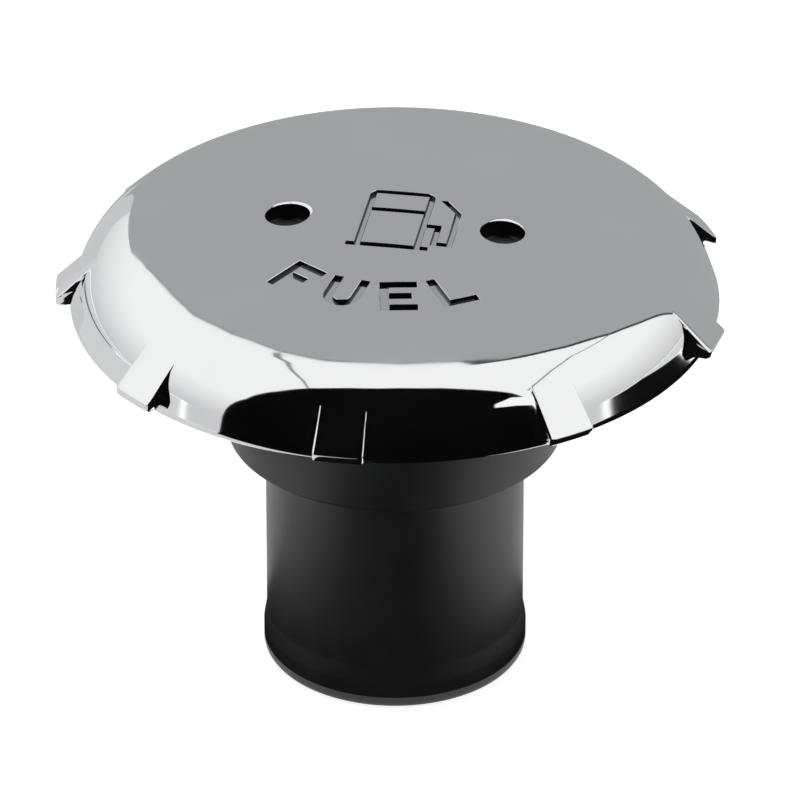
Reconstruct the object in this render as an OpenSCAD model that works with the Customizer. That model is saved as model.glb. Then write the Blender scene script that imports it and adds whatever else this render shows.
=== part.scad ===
// Deck fill cap: a chrome-plated domed cap that screws into a black nylon
// fill body with a hose tail. A short bead chain keeps the cap captive.
// Millimetres, +Z up out of the deck. The origin is on the body's axis, in
// the deck plane, and the foot of the legend points along -Y.

/* [Cap shell] */
// Radius of the cap at the lower edge of its rim
rim_r = 47.4; // [46.8:0.1:48]
// Height of the rim's lower edge above the deck
rim_z = 1.5; // [1.2:0.1:1.8]
// Height of the steep rim band under the shoulder
rim_band_h = 3.5; // [3.2:0.1:3.8]
// How far the rim band leans in from its lower to its upper edge
rim_band_lean = 1.2; // [1:0.1:1.4]
// Radius of the rounded shoulder
shoulder_r = 10; // [9.5:0.1:10.5]
// Slope of the shoulder where it meets the rim band, in degrees
shoulder_end = 70; // [68:1:71]
// Slope of the shallow crown where the shoulder begins, in degrees
shoulder_start = 8.94; // [8.5:0.01:9.5]
// Wall thickness of the casting
wall = 3; // [2.8:0.1:3.2]

/* [Grip lobes] */
// Number of grip lobes round the rim
lobe_count = 9; // [9:1:9]
// Radius to the lobes' outer faces
lobe_r = 49.4; // [49:0.1:50]
// Half the width of one lobe, in degrees round the rim
lobe_half_angle = 4.27; // [4:0.1:5]
// Height of the lobes' lower face above the rim's lower edge
lobe_lift = 0.9; // [0.6:0.1:1.1]
// Slope of the lobes' straight upper face, in degrees
lobe_slope = 43; // [42:0.5:45]

/* [Key holes and legend] */
// Distance between the two key holes
key_pitch = 31.6; // [31:0.1:32]
// Radius of a key hole
key_r = 3.3; // [3:0.1:3.5]
// Depth of a key hole below the crown
key_depth = 2.8; // [2.4:0.1:3]
// Depth of the engraved legend and pictogram
engrave_depth = 0.6; // [0.4:0.1:0.8]
// Radius on which the legend's letters are centred
legend_r = 20.8; // [20:0.1:21]
// Height of a letter
letter_h = 7; // [6:0.1:7.5]
// Width of a letter
letter_w = 5.4; // [5:0.1:6]
// Width of a letter's strokes
letter_stroke = 1.35; // [1:0.05:1.5]
// Angle between neighbouring letters, in degrees
letter_step = 22; // [20:1:24]
// Width of the pictogram's engraved lines
icon_line = 0.9; // [0.7:0.05:1]

/* [Fill body] */
// Radius of the mounting flange that the cap covers
flange_r = 41; // [40:0.5:41.5]
// Height of the flange's upper face above the deck
flange_top = 4.5; // [4.3:0.1:4.6]
// Radius of the collar that fills the hole in the deck
collar_r = 24.65; // [24.5:0.05:24.8]
// Depth of the collar below the deck
collar_depth = 20.3; // [20:0.1:21]
// Radius of the hose tail
tail_r = 19.05; // [19:0.05:19.1]
// Depth of the hose tail's end below the deck
tail_depth = 57.4; // [57:0.1:58]
// Radius of the hose bead at the tail's end
bead_r = 19.5; // [19.4:0.05:19.6]
// Length of the bead's straight land
bead_land = 2.8; // [2.5:0.1:3]
// Radius of the threaded neck
neck_r = 22.2; // [22.1:0.05:22.3]
// Radius of the tail's bore
bore_r = 16; // [15.8:0.1:16.2]
// Radius of the narrower outlet that carries the toggle bar
outlet_r = 14; // [13.8:0.1:14.2]

/* [Deck screws and gasket] */
// Number of deck screws
screw_count = 3; // [3:1:3]
// Diameter of the deck screws' circle
screw_pcd = 62; // [60:1:64]
// Radius of a deck screw's hole
screw_hole_r = 2.6; // [2.5:0.1:2.7]
// Thickness of the deck gasket
gasket_t = 1; // [1:0.1:1]

/* [Plug] */
// Outer radius of the plug's spigot, at the root of its thread
plug_r = 20.4; // [20.2:0.1:20.5]
// Wall thickness of the spigot
plug_wall = 3.2; // [3:0.1:3.4]
// Depth of the spigot's lower end below the deck
plug_depth = 10.5; // [10:0.1:11]
// Radius of the plug's head disc
head_r = 26; // [25.5:0.1:26.5]
// Height of the head disc's lower face above the deck
head_z = 5.1; // [5:0.1:5.2]
// Thickness of the head disc
head_t = 3.5; // [3.2:0.1:3.6]
// Radius of the sealing ring's round section
seal_r = 1.5; // [1.4:0.05:1.5]
// Radius of the circle of the plug's fixing screws
fixing_circle_r = 12; // [11.8:0.1:12.2]
// Number of the plug's fixing screws
fixing_count = 4; // [4:1:4]

/* [Chain] */
// Radius of one chain bead
chain_bead_r = 1.6; // [1.5:0.05:1.65]
// Distance between neighbouring beads
chain_pitch = 4.2; // [4:0.1:4.3]
// Number of beads
chain_beads = 8; // [8:1:8]
// How far the cap rises on its thread
thread_rise = 6; // [5:0.5:6]
// Length of the toggle bar
toggle_len = 30; // [29.5:0.1:30.5]
// Radius of the toggle bar
toggle_r = 1.6; // [1.5:0.1:1.6]
// Radius of the oblong link's wire
wire_r = 0.75; // [0.7:0.05:0.8]

/* [Hidden] */

$fn = 96;
cut = 1;                 // how far a cutting shape runs past the face it cuts
gap = 0.02;              // gap between neighbours that only touch

// Cap section: the crown and the shoulder are arcs that meet in one tangent
crease = [rim_r - rim_band_lean, rim_z + rim_band_h];
shoulder_c = crease - shoulder_r * [sin(shoulder_end), cos(shoulder_end)];
crown_r = shoulder_r + shoulder_c[0] / sin(shoulder_start);
crown_c_z = shoulder_c[1] - (crown_r - shoulder_r) * cos(shoulder_start);
crown_z = crown_c_z + crown_r;
function crown_height(r) = crown_c_z + sqrt(crown_r * crown_r - r * r);

// Plug, seal and neck
head_top = head_z + head_t;
seal_c = [plug_r + seal_r + gap, head_z - seal_r - gap];
seal_clear = 0.25;       // gap between the sealing ring and its seat in the neck
fixing_a0 = 45;          // angle of the first fixing screw
fixing_shank_r = 2;
fixing_hole_r = 2.05;
fixing_clear_r = 2.2;
fixing_head_r = 3.6;
fixing_head_h = 2.6;
fixing_end_z = 12.3;
fixing_slot = [4, 0.8, 1.2];          // length, width and depth of the cross recess
washer_r = 4.5;
washer_t = 0.8;
fixing_boss_r = 4.2;
key_boss_r = 5.2;
key_boss_z = 9;
key_bevel = 0.3;         // bevel round a key hole's mouth
rib_r = [24, 25.5];      // inner and outer radius of the ring that seats the plug

// Swivel: a shouldered screw in the plug's middle boss holds the stirrup
boss_r = 5;
boss_z = -0.5;
pivot_r = 2.4;
pivot_clear = 0.05;
pivot_len = 1.7;
pivot_head_r = 4;
pivot_head_h = 2.2;
pivot_thread_r = 1.45;
pivot_hole_r = 1.5;
pivot_thread_top = 4.8;
pivot_slot = 1;          // width and depth of the screwdriver slot
strap_t = 1.2;
strap_w = 6;
stirrup_w = 16;
stirrup_top = boss_z - 0.25;
stirrup_bottom = -9.8;
stirrup_corner = 1.8;
stirrup_hole_r = 0.9;

// Chain: the first bead sits on the edge of the stirrup's lower hole
first_bead_z = stirrup_bottom + strap_t + sqrt(pow(chain_bead_r, 2) - pow(stirrup_hole_r, 2)) + gap;
last_bead_z = first_bead_z - (chain_beads - 1) * chain_pitch;
chain_rod_r = 0.45;
coupling_r = 2.15;
coupling_bore_r = 1.7;
coupling_lid = 0.4;
coupling_top = last_bead_z + 2.1;
coupling_floor = last_bead_z - 2;
coupling_neck = 1.1;
coupling_mouth_r = 0.7;
eye_r = 1.9;
eye_hole_r = 1.1;
eye_t = 1.2;
eye_z = coupling_floor - coupling_neck - 1.9;

// Oblong link: the toggle bar rests near its top and drops to its bottom as the cap unscrews
link_r = 2.6;
link_top_z = eye_z - link_r;
toggle_z = eye_z - eye_r - toggle_r - 0.3;
link_bottom_z = toggle_z - thread_rise - 0.2;
toggle_collar_r = 2.4;
toggle_collar_t = 1;
toggle_collar_x = 1.3;

// Fill body
ledge_z = -collar_depth + 2.8;        // floor of the neck, where the retainer ring lies
lip_z = toggle_z - toggle_r - 0.1;    // lip inside the tail that carries the toggle bar
seat_r = seal_c[0] + seal_r + seal_clear;
seat_z = seal_c[1] - seal_r - seal_clear;
screw_head_r = 5.2;
gasket_hole_r = 26;
tail_edge_r = 1.4;
bead_rise = 2.7;                      // length of the bead's lead-in arc
retainer_t = 2;
retainer_hole_r = 12.5;

// ---- Shared shapes ----

// Places children at equal angles on a circle
module ring_of(count, radius, first_angle) {
    for (i = [0 : count - 1])
        rotate(first_angle + i * 360 / count) translate([radius, 0, 0]) children();
}

// Half section of everything under the cap's surface, moved inwards by inset.
// lip_in is how far the section's lower edge is moved inwards
module dome_section(inset, lip_in) {
    start_dir = [sin(shoulder_start), cos(shoulder_start)];
    end_dir = [sin(shoulder_end), cos(shoulder_end)];
    reach = shoulder_r * 2;
    intersection() {
        translate([0, crown_c_z]) circle(crown_r - inset, $fn = 720);
        polygon([[0, rim_z], [0, crown_z + cut], shoulder_c + reach * start_dir,
                 shoulder_c, [shoulder_c[0], rim_z]]);
    }
    intersection() {
        translate(shoulder_c) circle(shoulder_r - inset);
        polygon([shoulder_c, shoulder_c + reach * start_dir, shoulder_c + [reach, reach],
                 shoulder_c + reach * end_dir]);
    }
    polygon([[shoulder_c[0], rim_z], shoulder_c, shoulder_c + (shoulder_r - inset) * end_dir,
             [rim_r - lip_in, rim_z]]);
}

// One grip lobe: the slope of its upper face leaves the shoulder in a tangent
module lobe() {
    from = shoulder_c + shoulder_r * [sin(lobe_slope), cos(lobe_slope)];
    tip_z = from[1] - (lobe_r - from[0]) * tan(lobe_slope);
    rotate(-lobe_half_angle)
        rotate_extrude(angle = 2 * lobe_half_angle)
            polygon([[shoulder_c[0], rim_z + lobe_lift], [shoulder_c[0], shoulder_c[1] + wall], from,
                     [lobe_r, tip_z], [lobe_r, rim_z + lobe_lift]]);
}

// ---- Legend: plain block letters in strokes of one width ----

module bar_h(y) { translate([-letter_w / 2, y]) square([letter_w, letter_stroke]); }
module bar_v(x) { translate([x, -letter_h / 2]) square([letter_stroke, letter_h]); }

module letter_f() {
    bar_v(-letter_w / 2);
    bar_h(letter_h / 2 - letter_stroke);
    translate([-letter_w / 2, -letter_stroke / 2]) square([letter_w * 0.8, letter_stroke]);
}

module letter_u() {
    bend = letter_w / 2;
    translate([0, bend - letter_h / 2])
        difference() {
            circle(bend);
            circle(bend - letter_stroke);
            translate([-letter_w, 0]) square([2 * letter_w, letter_w]);
        }
    for (x = [-letter_w / 2, letter_w / 2 - letter_stroke])
        translate([x, bend - letter_h / 2]) square([letter_stroke, letter_h - bend]);
}

module letter_e() {
    bar_v(-letter_w / 2);
    bar_h(letter_h / 2 - letter_stroke);
    bar_h(-letter_h / 2);
    translate([-letter_w / 2, -letter_stroke / 2]) square([letter_w * 0.85, letter_stroke]);
}

module letter_l() {
    bar_v(-letter_w / 2);
    bar_h(-letter_h / 2);
}

// Moves a letter to its place on the arc, with its top towards the middle
module on_arc(index) {
    rotate((index - 1.5) * letter_step) translate([0, -legend_r]) children();
}

// Plain fuel pump pictogram: a housing with a window, a plinth, and a hose with a nozzle
module pump_icon() {
    housing = [9.6, 15.8];
    plinth = [13.2, 1.5];
    window = [5.6, 4.2];
    left = -4.8;
    base = -8.6;
    translate([left, base + plinth[1] - 0.2])
        difference() {
            square(housing);
            translate([icon_line, icon_line]) square(housing - 2 * [icon_line, icon_line]);
        }
    translate([left - (plinth[0] - housing[0]) / 2, base]) square(plinth);
    translate([left + (housing[0] - window[0]) / 2, base + 10])
        difference() {
            square(window);
            translate([icon_line, icon_line]) square(window - 2 * [icon_line, icon_line]);
        }
    hose_x = left + housing[0];
    translate([hose_x - 0.2, -1.6]) square([2.4, icon_line]);
    translate([hose_x + 2.2 - icon_line, -5.8]) square([icon_line, 4.6]);
    translate([hose_x + 2.2 - icon_line, -6.4]) square([3.2, icon_line]);
    translate([hose_x + 4.5 - icon_line, -6.4]) square([icon_line, 10.2]);
    translate([hose_x + 4.5 - icon_line, 3.4])
        polygon([[0, 0], [icon_line, 0], [-1.6, 3.4], [-2.6, 3.4]]);
}

module legend() {
    on_arc(0) letter_f();
    on_arc(1) letter_u();
    on_arc(2) letter_e();
    on_arc(3) letter_l();
    pump_icon();
}

// ---- Cap: shell, plug, seal and their fastenings ----

// Chrome-plated zinc casting
module cap_shell() {
    color("silver") difference() {
        union() {
            difference() {
                union() {
                    rotate_extrude() dome_section(0, 0);
                    ring_of(lobe_count, 0, -90) lobe();
                }
                rotate_extrude() dome_section(wall, wall - 0.2);
                translate([0, 0, rim_z - cut]) cylinder(r = rim_r - wall + 0.2, h = cut);
            }
            // bosses and the seating ring fill the space up to the middle of the crown's wall
            intersection() {
                rotate_extrude() dome_section(wall / 2, wall);
                union() {
                    translate([0, 0, head_top]) {
                        ring_of(fixing_count, fixing_circle_r, fixing_a0)
                            cylinder(r = fixing_boss_r, h = wall * 2);
                        difference() {
                            cylinder(r = rib_r[1], h = wall * 2);
                            translate([0, 0, -cut]) cylinder(r = rib_r[0], h = wall * 3);
                        }
                    }
                    translate([0, 0, key_boss_z])
                        ring_of(2, key_pitch / 2, 0) cylinder(r = key_boss_r, h = wall * 2);
                }
            }
        }
        ring_of(fixing_count, fixing_circle_r, fixing_a0)
            translate([0, 0, head_top - cut])
                cylinder(r = fixing_hole_r, h = fixing_end_z + 0.2 - head_top + cut);
        key_mouth = crown_height(key_pitch / 2);
        for (x = [-key_pitch / 2, key_pitch / 2])
            translate([x, 0, key_mouth]) rotate_extrude()
                polygon([[0, -key_depth], [key_r, -key_depth], [key_r, -key_bevel],
                         [key_r + key_bevel + cut, cut], [0, cut]]);
        difference() {
            translate([0, 0, crown_z - 3]) linear_extrude(4) legend();
            rotate_extrude() dome_section(engrave_depth, wall);
        }
    }
}

// Moulded nylon plug that carries the thread and the seal
module threaded_plug() {
    color("#1c1d1f") difference() {
        union() {
            translate([0, 0, head_z]) cylinder(r = head_r, h = head_t);
            translate([0, 0, -plug_depth]) difference() {
                cylinder(r = plug_r, h = plug_depth + head_z + cut);
                translate([0, 0, -cut])
                    cylinder(r = plug_r - plug_wall, h = plug_depth + head_z + cut);
            }
            translate([0, 0, boss_z]) cylinder(r = boss_r, h = head_z - boss_z + cut);
        }
        translate([0, 0, boss_z - cut])
            cylinder(r = pivot_hole_r, h = pivot_thread_top + 0.2 - boss_z + cut);
        ring_of(fixing_count, fixing_circle_r, fixing_a0)
            translate([0, 0, head_z - cut]) cylinder(r = fixing_clear_r, h = head_t + 2 * cut);
    }
}

// Nitrile sealing ring under the plug's head
module o_ring() {
    color("#121212") rotate_extrude() translate(seal_c) circle(seal_r);
}

// Four pan-head screws from below through the plug into the shell's bosses
module plug_screws() {
    head_top_z = head_z - washer_t;
    color("lightgray") ring_of(fixing_count, fixing_circle_r, fixing_a0)
        difference() {
            union() {
                translate([0, 0, head_top_z - gap - fixing_head_h])
                    cylinder(r = fixing_head_r, h = fixing_head_h);
                translate([0, 0, head_top_z - cut])
                    cylinder(r = fixing_shank_r, h = fixing_end_z - head_top_z + cut);
            }
            for (a = [0, 90]) rotate(a)
                translate([-fixing_slot[0] / 2, -fixing_slot[1] / 2, head_top_z - fixing_head_h - cut])
                    cube([fixing_slot[0], fixing_slot[1], fixing_slot[2] + cut]);
        }
}

module plug_washers() {
    color("gray") ring_of(fixing_count, fixing_circle_r, fixing_a0)
        translate([0, 0, head_z - washer_t]) difference() {
            cylinder(r = washer_r, h = washer_t - gap);
            translate([0, 0, -cut]) cylinder(r = fixing_clear_r, h = washer_t + 2 * cut);
        }
}

// Shouldered screw on which the stirrup swivels
module chain_screw() {
    head_bottom = boss_z - pivot_len - pivot_head_h;
    color("lightgray") difference() {
        union() {
            translate([0, 0, head_bottom]) cylinder(r = pivot_head_r, h = pivot_head_h);
            translate([0, 0, head_bottom]) cylinder(r = pivot_r, h = pivot_head_h + pivot_len - gap);
            translate([0, 0, head_bottom]) cylinder(r = pivot_thread_r, h = pivot_thread_top - head_bottom);
        }
        translate([-pivot_head_r - cut, -pivot_slot / 2, head_bottom - cut])
            cube([2 * (pivot_head_r + cut), pivot_slot, cut + pivot_slot]);
    }
}

// ---- Chain: stirrup, beads, coupling, link and toggle bar ----

// Outline with round corners, centred
module rounded(size, corner) {
    square(size - [2 * corner, 0], center = true);
    square(size - [0, 2 * corner], center = true);
    for (x = [-1, 1], y = [-1, 1])
        translate([x * (size[0] / 2 - corner), y * (size[1] / 2 - corner)]) circle(corner);
}

// Bent stainless strap that swivels on the shouldered screw
module swivel_stirrup() {
    height = stirrup_top - stirrup_bottom;
    color("silver") difference() {
        translate([0, strap_w / 2, (stirrup_top + stirrup_bottom) / 2]) rotate([90, 0, 0])
            linear_extrude(strap_w) difference() {
                rounded([stirrup_w, height], stirrup_corner);
                rounded([stirrup_w - 2 * strap_t, height - 2 * strap_t], stirrup_corner - strap_t);
            }
        translate([0, 0, stirrup_top - strap_t - cut])
            cylinder(r = pivot_r + pivot_clear, h = strap_t + 2 * cut);
        translate([0, 0, stirrup_bottom - cut]) cylinder(r = stirrup_hole_r, h = strap_t + 2 * cut);
    }
}

// Beads on one wire
module bead_chain() {
    color("silver") {
        for (i = [0 : chain_beads - 1])
            translate([0, 0, first_bead_z - i * chain_pitch]) sphere(chain_bead_r, $fn = 32);
        translate([0, 0, last_bead_z]) cylinder(r = chain_rod_r, h = first_bead_z - last_bead_z, $fn = 32);
    }
}

// Clasp that holds the last bead and ends in a flat eye
module chain_coupling() {
    color("silver") difference() {
        union() {
            translate([0, 0, coupling_floor - coupling_lid])
                cylinder(r = coupling_r, h = coupling_top - coupling_floor + coupling_lid);
            translate([-eye_r, -eye_t / 2, eye_z]) cube([2 * eye_r, eye_t, coupling_floor - eye_z]);
            translate([0, eye_t / 2, eye_z]) rotate([90, 0, 0]) cylinder(r = eye_r, h = eye_t);
        }
        translate([0, 0, coupling_floor])
            cylinder(r = coupling_bore_r, h = coupling_top - coupling_lid - coupling_floor);
        translate([0, 0, coupling_floor])
            cylinder(r = coupling_mouth_r, h = coupling_top - coupling_floor + cut);
        translate([0, eye_t, eye_z]) rotate([90, 0, 0]) cylinder(r = eye_hole_r, h = 2 * eye_t);
    }
}

// Wire link that joins the eye and the toggle bar
module oblong_link() {
    module half_ring(z, turn) {
        translate([0, 0, z]) rotate([90, 0, 90]) rotate(turn)
            rotate_extrude(angle = 180) translate([link_r, 0]) circle(wire_r);
    }
    color("silver") {
        half_ring(link_top_z, 0);
        half_ring(link_bottom_z, 180);
        for (y = [-link_r, link_r])
            translate([0, y, link_bottom_z]) cylinder(r = wire_r, h = link_top_z - link_bottom_z);
    }
}

// Bar too long for the retainer ring's hole, with collars that keep the link in the middle
module toggle_bar() {
    shank = toggle_len - 2 * toggle_r;
    color("silver") translate([0, 0, toggle_z]) rotate([0, 90, 0]) {
        translate([0, 0, -shank / 2]) cylinder(r = toggle_r, h = shank);
        for (z = [-shank / 2, shank / 2]) translate([0, 0, z]) sphere(toggle_r);
        for (z = [toggle_collar_x, -toggle_collar_x - toggle_collar_t])
            translate([0, 0, z]) cylinder(r = toggle_collar_r, h = toggle_collar_t);
    }
}

// ---- Fill body, gasket and retainer ring ----

// Half section of the hose tail and its bead
module tail_section() {
    land_top = -tail_depth + tail_edge_r + bead_land;
    rise = bead_r - tail_r;
    lead_r = (bead_rise * bead_rise + rise * rise) / (2 * rise);
    translate([0, -tail_depth]) square([bead_r - tail_edge_r, tail_depth]);
    translate([0, -tail_depth + tail_edge_r]) square([bead_r, bead_land]);
    translate([bead_r - tail_edge_r, -tail_depth + tail_edge_r]) circle(tail_edge_r);
    translate([0, -tail_depth + tail_edge_r]) square([tail_r, tail_depth - tail_edge_r]);
    intersection() {
        translate([bead_r - lead_r, land_top]) circle(lead_r);
        translate([0, land_top]) square([bead_r, bead_rise]);
    }
}

// One moulding of glass-filled nylon: flange, collar and hose tail
module fill_body() {
    flange_z = gasket_t;
    edge = 1;
    color("#26282a") difference() {
        rotate_extrude() union() {
            translate([0, flange_z]) square([flange_r - edge, flange_top - flange_z]);
            translate([0, flange_z]) square([flange_r, flange_top - flange_z - edge]);
            translate([flange_r - edge, flange_top - edge]) circle(edge);
            translate([0, -collar_depth]) square([collar_r, collar_depth + flange_z]);
            tail_section();
        }
        translate([0, 0, ledge_z]) cylinder(r = neck_r, h = flange_top - ledge_z + cut);
        translate([0, 0, seat_z]) cylinder(r = seat_r, h = flange_top - seat_z + cut);
        translate([0, 0, lip_z]) cylinder(r = bore_r, h = ledge_z - lip_z + cut);
        translate([0, 0, -tail_depth - cut]) cylinder(r = outlet_r, h = tail_depth + lip_z + 2 * cut);
        ring_of(screw_count, screw_pcd / 2, 90) {
            translate([0, 0, -cut]) cylinder(r = screw_hole_r, h = flange_top + 2 * cut);
            translate([0, 0, flange_top - (screw_head_r - screw_hole_r)])
                cylinder(r1 = screw_hole_r, r2 = screw_head_r, h = screw_head_r - screw_hole_r);
        }
    }
}

// Soft gasket between the flange and the deck
module deck_gasket() {
    color("#2e3032") difference() {
        cylinder(r = flange_r - 0.4, h = gasket_t);
        translate([0, 0, -cut]) cylinder(r = gasket_hole_r, h = gasket_t + 2 * cut);
        ring_of(screw_count, screw_pcd / 2, 90)
            translate([0, 0, -cut]) cylinder(r = screw_hole_r, h = gasket_t + 2 * cut);
    }
}

// Stainless ring pressed into the neck over the toggle bar
module retainer_ring() {
    color("gray") translate([0, 0, ledge_z]) difference() {
        cylinder(r = neck_r, h = retainer_t);
        translate([0, 0, -cut]) cylinder(r = retainer_hole_r, h = retainer_t + 2 * cut);
    }
}

fill_body();
deck_gasket();
retainer_ring();
cap_shell();
threaded_plug();
o_ring();
plug_screws();
plug_washers();
chain_screw();
swivel_stirrup();
bead_chain();
chain_coupling();
oblong_link();
toggle_bar();
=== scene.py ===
"""Deck fill cap for a boat: a chrome-plated screw cap with grip lobes on a black nylon fill body.

The file follows the fitting as it is put together, from the deck up. Sizes are in millimetres and
are turned to metres by MM. The frame's +Z points up out of the deck and -Y to the legend's foot.
"""

import math

import bmesh
import bpy
from mathutils import Matrix, Vector
from mathutils.kdtree import KDTree


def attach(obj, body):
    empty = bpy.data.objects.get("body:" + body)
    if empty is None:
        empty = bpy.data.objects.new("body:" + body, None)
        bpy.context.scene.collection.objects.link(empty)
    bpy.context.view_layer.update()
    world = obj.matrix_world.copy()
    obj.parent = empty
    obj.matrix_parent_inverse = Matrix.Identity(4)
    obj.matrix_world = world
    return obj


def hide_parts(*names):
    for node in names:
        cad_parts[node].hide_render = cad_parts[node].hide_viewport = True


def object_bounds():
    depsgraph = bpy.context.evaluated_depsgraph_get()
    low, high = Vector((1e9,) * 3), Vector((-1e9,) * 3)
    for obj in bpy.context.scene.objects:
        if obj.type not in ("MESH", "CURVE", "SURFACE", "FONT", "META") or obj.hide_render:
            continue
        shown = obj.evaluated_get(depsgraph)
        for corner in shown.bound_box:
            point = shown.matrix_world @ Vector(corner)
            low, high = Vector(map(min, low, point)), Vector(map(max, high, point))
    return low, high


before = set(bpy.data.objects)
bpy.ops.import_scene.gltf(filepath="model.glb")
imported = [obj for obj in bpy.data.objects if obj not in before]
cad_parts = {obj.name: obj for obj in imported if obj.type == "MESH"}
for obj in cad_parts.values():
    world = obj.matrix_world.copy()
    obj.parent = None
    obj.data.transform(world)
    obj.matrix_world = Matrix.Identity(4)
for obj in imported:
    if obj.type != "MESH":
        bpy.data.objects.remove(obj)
cad_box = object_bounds()
MM = 0.001
UP = Vector((0, 0, 1))


# ---- Camera -------------------------------------------------------------------------------------
# A long lens a good metre away looks down on the cap, a little from the right of the legend.
# The aim point lies under the cap, so that the whole fitting sits in the frame.
CAMERA_AZIMUTH = math.radians(9.45)
camera_elevation = math.radians(30.56)
camera_distance = 1200
aim_height = -18.5
aim_right, aim_up = 0.75, 2.18

back = Vector((math.sin(CAMERA_AZIMUTH) * math.cos(camera_elevation),
               -math.cos(CAMERA_AZIMUTH) * math.cos(camera_elevation),
               math.sin(camera_elevation)))
look = (-back).to_track_quat("-Z", "Y")
camera_data = bpy.data.cameras.new("camera")
camera_data.sensor_width = 36
camera_data.lens = 367.4
camera_data.clip_start, camera_data.clip_end = 0.1, 60
camera = bpy.data.objects.new("camera", camera_data)
camera.rotation_mode = "QUATERNION"
camera.rotation_quaternion = look
camera.location = (UP * aim_height + back * camera_distance + look @ Vector((aim_right, aim_up, 0))) * MM
bpy.context.scene.collection.objects.link(camera)
bpy.context.scene.camera = camera


# ---- Studio -------------------------------------------------------------------------------------
# A pale floor in an even white room. Chrome shows nothing but its room, so cards stand round the
# fitting as in a product studio: they light nothing and are seen only in its reflections.
def linear(hex_colour):
    """The linear colour of an sRGB hex value such as "#8a9197"."""
    parts = [int(hex_colour[i:i + 2], 16) / 255 for i in (1, 3, 5)]
    return [p / 12.92 if p <= 0.04045 else ((p + 0.055) / 1.055) ** 2.4 for p in parts] + [1]


def add_node(tree, kind, links=None, **settings):
    """Adds a node. Settings are its properties or its sockets' values; links join its sockets to others."""
    made = tree.nodes.new(kind)
    for key, value in settings.items():
        if hasattr(made, key):
            setattr(made, key, value)
        else:
            made.inputs[int(key[1:]) if key[1:].isdigit() else key.replace("_", " ")].default_value = value
    for socket, source in (links or {}).items():
        tree.links.new(source, made.inputs[socket])
    return made


def glow(name, colour, strength=1.0):
    """A plain material that shines evenly, for cards."""
    made = bpy.data.materials.new(name)
    made.use_nodes = True
    tree = made.node_tree
    tree.nodes.clear()
    shine = add_node(tree, "ShaderNodeEmission", Color=linear(colour), Strength=strength)
    add_node(tree, "ShaderNodeOutputMaterial", {"Surface": shine.outputs[0]})
    return made


def in_room(right, away, up):
    """A point of the room, in millimetres to the right of the camera's line, away from it, and up."""
    turn = Matrix.Rotation(CAMERA_AZIMUTH, 3, "Z")
    return turn @ Vector((right, away, up)) * MM


def card(name, rows, colour):
    """A card through rows of points of the room, seen only in reflections."""
    bm = bmesh.new()
    grid = [[bm.verts.new(in_room(*p)) for p in row] for row in rows]
    for low, high in zip(grid, grid[1:]):
        for i in range(len(low) - 1):
            bm.faces.new((low[i], low[i + 1], high[i + 1], high[i]))
    mesh = bpy.data.meshes.new(name)
    bm.to_mesh(mesh)
    bm.free()
    made = bpy.data.objects.new(name, mesh)
    bpy.context.scene.collection.objects.link(made)
    mesh.materials.append(glow(name, colour))
    made.visible_camera = False
    made.visible_diffuse = False
    made.visible_shadow = False
    made.visible_transmission = False


scene = bpy.context.scene
scene.view_settings.view_transform = "Standard"
scene.view_settings.look = "None"

room = bpy.data.worlds.new("white_room")
room.use_nodes = True
tree = room.node_tree
direction = add_node(tree, "ShaderNodeTexCoord")
height = add_node(tree, "ShaderNodeSeparateXYZ", {"Vector": direction.outputs["Generated"]})
paleness = add_node(tree, "ShaderNodeValToRGB", {"Fac": height.outputs["Z"]})
paleness.color_ramp.elements[0].color = linear("#cfcfd0")
paleness.color_ramp.elements[1].position = 0.55
paleness.color_ramp.elements[1].color = linear("#fbfbfb")
# where the chrome mirrors the room it is greyer towards the floor, and the camera sees it white
ray = add_node(tree, "ShaderNodeLightPath")
seen = add_node(tree, "ShaderNodeMixRGB", {"Fac": ray.outputs["Is Camera Ray"],
                                           "Color1": paleness.outputs["Color"]},
                Color2=linear("#ffffff"))
tree.links.new(seen.outputs["Color"], tree.nodes["Background"].inputs["Color"])
scene.world = room

floor_size = 30
bm = bmesh.new()
bmesh.ops.create_grid(bm, x_segments=1, y_segments=1, size=floor_size / 2)
bmesh.ops.translate(bm, verts=bm.verts, vec=(0, 0, cad_box[0].z - 0.02 * MM))
floor_mesh = bpy.data.meshes.new("floor")
bm.to_mesh(floor_mesh)
bm.free()
floor = bpy.data.objects.new("floor", floor_mesh)
scene.collection.objects.link(floor)
floor_paint = bpy.data.materials.new("pale_floor_paint")
floor_paint.use_nodes = True
floor_shader = floor_paint.node_tree.nodes["Principled BSDF"]
floor_shader.inputs["Base Color"].default_value = linear("#b4b4b4")
floor_shader.inputs["Roughness"].default_value = 0.9
floor_shader.inputs["Specular IOR Level"].default_value = 0.1
floor_shader.inputs["Emission Color"].default_value = linear("#ffffff")
floor_shader.inputs["Emission Strength"].default_value = 0.8
floor_mesh.materials.append(floor_paint)

floor_height = cad_box[0].z / MM


def standing_card(name, away, outline, colour):
    """An upright card that stands on the floor, through (right, up) points from left to right."""
    low = [(right, away, floor_height) for right, up in outline]
    high = [(right, away, up) for right, up in outline]
    card(name, [low, high], colour)


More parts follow.
